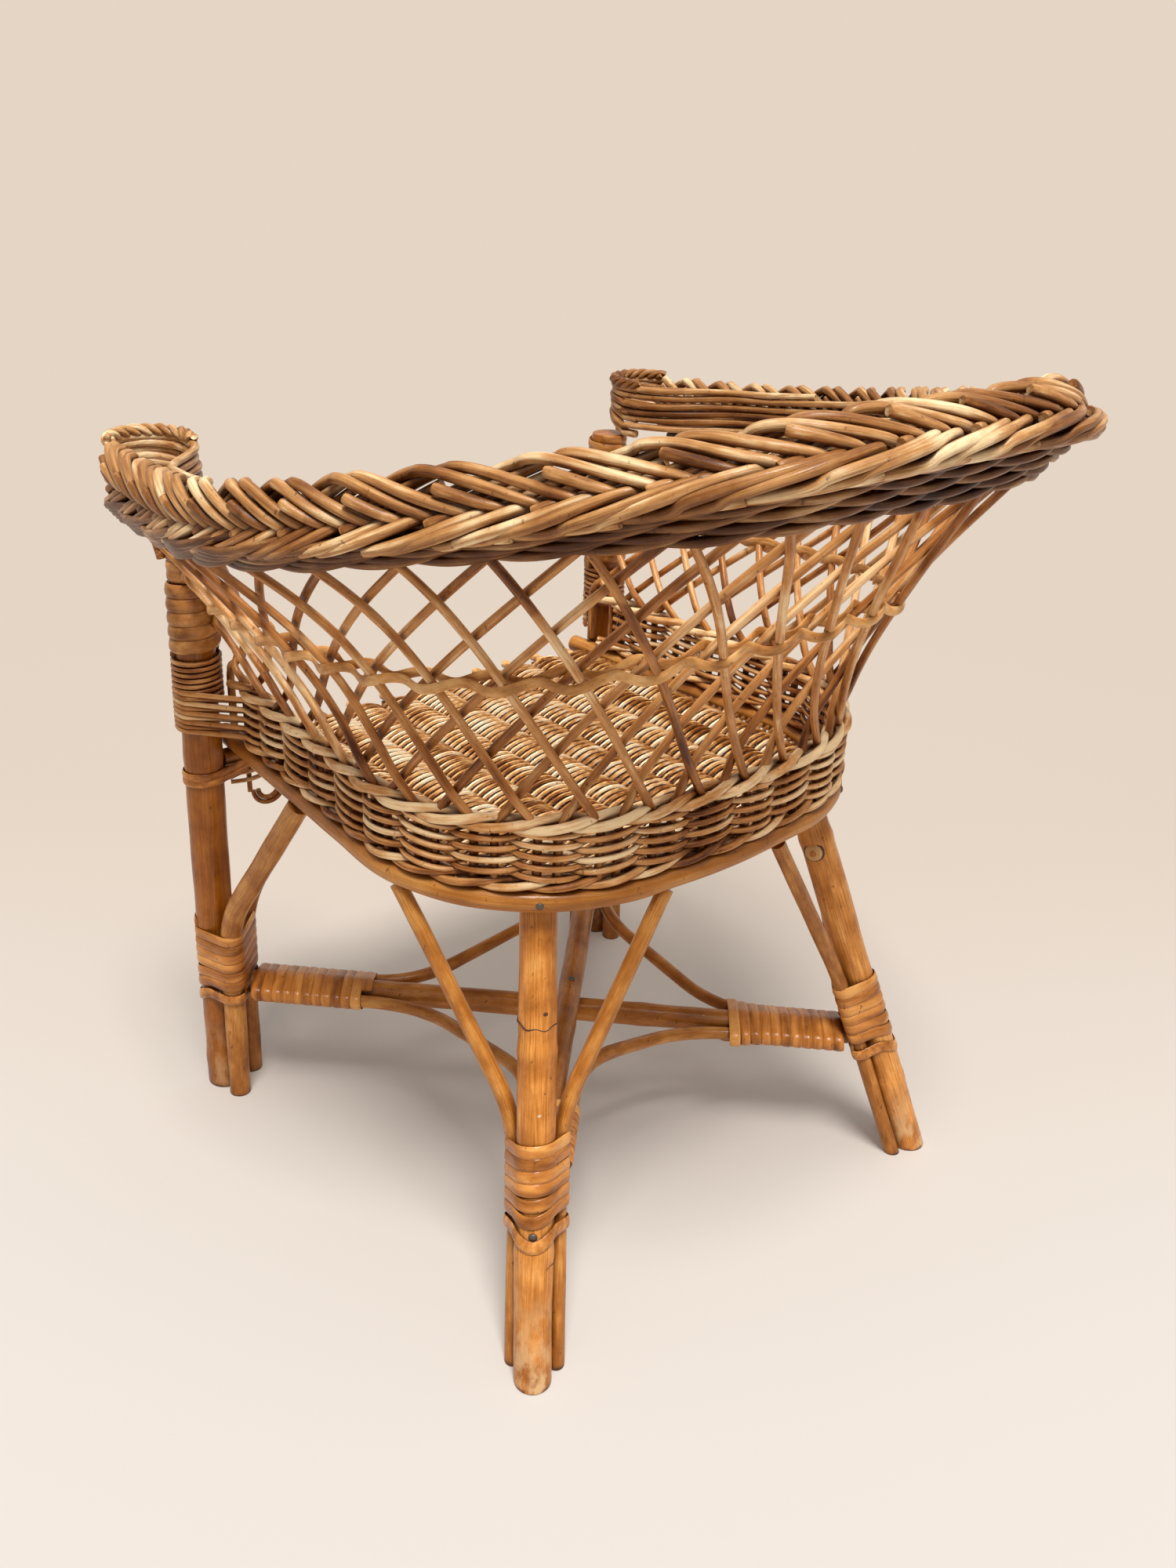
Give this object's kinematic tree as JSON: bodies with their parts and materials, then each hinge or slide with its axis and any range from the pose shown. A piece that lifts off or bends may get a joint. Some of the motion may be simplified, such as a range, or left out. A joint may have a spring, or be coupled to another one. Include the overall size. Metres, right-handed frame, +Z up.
{
  "type": "child wicker armchair",
  "caption": "Child's armchair with a woven willow tub, open lattice sides and a plaited rim, on round rod legs with crossed stretchers and cane bindings.",
  "frame": {"origin": "on the floor under the middle of the chair", "axes": "+Z up, front of the chair towards -Y, sitter's left towards +X"},
  "size_m": [0.4974, 0.4621, 0.5479],
  "materials": {
    "leg_wood": "varnished orange-brown rod with small knots",
    "frame_rod": "varnished tan rod",
    "hoop_rod": "varnished honey rod",
    "cane": "glossy split cane, reddish tan",
    "seat_weave": "satin pale straw-coloured strand",
    "willow": "satin honey-coloured willow",
    "plait_willow": "satin golden willow"
  },
  "bodies": {
    "root": {"apron_scallops": "willow", "apron_stakes": "willow", "apron_weavers": "willow", "back_bow": "frame_rod", "back_left_binding": "cane", "back_left_leg": "leg_wood", "back_left_rear_brace": "frame_rod", "back_left_side_brace": "frame_rod", "back_left_stretcher_binding": "cane", "back_right_binding": "cane", "back_right_leg": "leg_wood", "back_right_rear_brace": "frame_rod", "back_right_side_brace": "frame_rod", "back_right_stretcher_binding": "cane", "band_bottom_wale": "willow", "band_top_wale": "willow", "band_weavers": "willow", "front_bow": "frame_rod", "front_left_binding": "cane", "front_left_post": "leg_wood", "front_left_rail_brace": "frame_rod", "front_left_side_brace": "frame_rod", "front_left_stretcher_binding": "cane", "front_right_binding": "cane", "front_right_post": "leg_wood", "front_right_rail_brace": "frame_rod", "front_right_side_brace": "frame_rod", "front_right_stretcher_binding": "cane", "front_seat_rail": "hoop_rod", "inner_fitching": "willow", "inner_lattice_rods": "willow", "inner_upper_wale": "willow", "left_arm_end_border": "plait_willow", "left_arm_stay": "willow", "left_bow": "frame_rod", "left_post_top_binding": "cane", "lower_stretcher": "frame_rod", "outer_fitching": "willow", "outer_lattice_rods": "willow", "outer_upper_wale": "willow", "right_arm_end_border": "plait_willow", "right_arm_stay": "willow", "right_bow": "frame_rod", "right_post_top_binding": "cane", "rim_plait": "plait_willow", "seat_hoop": "hoop_rod", "seat_warps": "seat_weave", "seat_weft": "seat_weave", "upper_stretcher": "frame_rod"}
  },
  "joints": []
}
